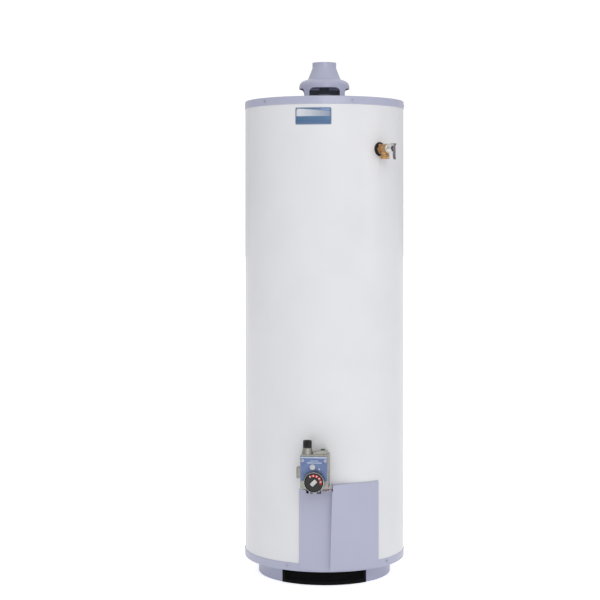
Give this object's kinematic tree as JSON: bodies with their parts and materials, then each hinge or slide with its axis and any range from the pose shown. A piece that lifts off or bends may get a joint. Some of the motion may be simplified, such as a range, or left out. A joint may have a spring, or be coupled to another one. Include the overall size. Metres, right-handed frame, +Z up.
{
  "type": "tank water heater",
  "caption": "Tall cylindrical gas tank water heater with a draft hood, a relief valve high on the side, and a gas control with a dial above an outer access door.",
  "frame": {"origin": "on the floor, at the centre of the base ring's underside, on the tank's axis", "axes": "+Z up along the tank's axis, -Y towards the front with the gas control, +X to the front's right"},
  "size_m": [0.5139, 0.6049, 1.629],
  "materials": {
    "white_enamel": "gloss",
    "grey_enamel": "satin",
    "black_screen": "matte",
    "zinc_steel": "satin",
    "raw_steel": "matte",
    "galvanised_pipe": "satin",
    "foam": "matte",
    "fibreglass": "matte",
    "black_foam": "matte",
    "rubber": "matte",
    "blue_plastic": "satin",
    "red_plastic": "satin",
    "grey_plastic": "satin",
    "white_plastic": "satin",
    "magnesium": "matte",
    "cast_aluminium": "matte",
    "valve_cover": "satin",
    "valve_caps": "satin",
    "black_plastic": "satin",
    "green_plastic": "satin",
    "drawn_aluminium": "satin",
    "copper_lead": "satin",
    "lead_insulation": "satin",
    "brass": "satin",
    "dark_fittings": "satin",
    "nickel_plate": "polished",
    "handle_plastic": "satin",
    "glass": "gloss",
    "badge": "gloss"
  },
  "bodies": {
    "heater": {"adjuster_caps": "valve_caps", "air_intake_screen": "black_screen", "anode_plug": "grey_plastic", "anode_rod": "magnesium", "badge": "badge", "base_ring": "grey_enamel", "bottom_pan": "grey_enamel", "burner": "raw_steel", "burner_bracket": "zinc_steel", "chamber_blanket": "fibreglass", "cold_ring": "blue_plastic", "dip_tube": "white_plastic", "draft_hood": "grey_enamel", "drain_bonnet": "brass", "drain_valve_body": "brass", "flame_arrestor": "raw_steel", "flue_baffle": "raw_steel", "flue_tube": "raw_steel", "foam_collars": "black_foam", "foam_insulation": "foam", "gas_valve_body": "cast_aluminium", "gas_valve_cover": "valve_cover", "gas_valve_cover_screws": "zinc_steel", "hot_ring": "red_plastic", "inner_door": "zinc_steel", "inner_door_gasket": "fibreglass", "jacket": "white_enamel", "main_gas_tube": "drawn_aluminium", "orifice_holder": "brass", "pilot_burner": "brass", "pilot_gas_tube": "drawn_aluminium", "relief_bonnet": "nickel_plate", "relief_lever_pin": "nickel_plate", "relief_probe": "brass", "relief_spring": "raw_steel", "relief_valve_body": "brass", "sheet_metal_screws": "zinc_steel", "sight_glass": "glass", "tank_bottom_head": "raw_steel", "tank_shell": "raw_steel", "tank_spuds": "raw_steel", "tank_top_head": "raw_steel", "thermal_switch": "zinc_steel", "thermal_switch_lead": "lead_insulation", "thermocouple_lead": "copper_lead", "thermostat_shank": "copper_lead", "top_pan": "grey_enamel", "tube_grommet": "rubber", "valve_fittings": "dark_fittings", "water_nipples": "galvanised_pipe"},
    "temperature_dial": {"temperature_dial": "black_plastic"},
    "gas_cock": {"gas_cock_knob": "black_plastic"},
    "pilot_button": {"pilot_button": "green_plastic"},
    "relief_lever": {"relief_lever": "nickel_plate"},
    "relief_stem": {"relief_stem": "brass"},
    "drain_washer": {"drain_washer": "rubber"},
    "drain_wheel": {"drain_stem": "brass", "drain_handle": "handle_plastic"},
    "outer_door": {"outer_door": "grey_enamel"}
  },
  "joints": [
    {"name": "dial_turn", "type": "hinge", "parent": "heater", "child": "temperature_dial", "pos_m": [-0.03601, -0.33004, 0.339], "axis": [-0.1115, -0.9938, 0], "range_deg": [-100, 190]},
    {"name": "gas_cock_turn", "type": "hinge", "parent": "heater", "child": "gas_cock", "pos_m": [-0.05596, -0.29258, 0.4365], "axis": [0, 0, 1], "range_deg": [0, 180]},
    {"name": "pilot_press", "type": "slide", "parent": "heater", "child": "pilot_button", "axis": [0, 0, -1], "range_m": [0, 0.004], "stiffness_N_per_m": 600, "springref_m": -0.002},
    {"name": "relief_lever_lift", "type": "hinge", "parent": "heater", "child": "relief_lever", "pos_m": [0.20922, -0.23815, 1.3548], "axis": [-0.7513, -0.66, 0], "range_deg": [0, 90]},
    {"name": "relief_lift", "type": "slide", "parent": "heater", "child": "relief_stem", "axis": [0.66, -0.7513, 0], "range_m": [0, 0.0046], "deforming": ["relief_spring"]},
    {"name": "drain_turn", "type": "hinge", "parent": "drain_washer", "child": "drain_wheel", "pos_m": [0.22203, 0.22203, 0.33], "axis": [0.7071, 0.7071, 0], "range_deg": [0, 540]},
    {"name": "drain_lift", "type": "slide", "parent": "heater", "child": "drain_washer", "axis": [0.7071, 0.7071, 0], "range_m": [0, 0.0038]},
    {"name": "door_off", "type": "slide", "parent": "heater", "child": "outer_door", "axis": [0, -1, 0], "range_m": [0, 0.12]}
  ],
  "couplings": [
    {"joint": "relief_lift", "follows": "relief_lever_lift", "m_per_rad": 0.0028648},
    {"joint": "drain_lift", "follows": "drain_turn", "m_per_rad": 0.00039789}
  ]
}
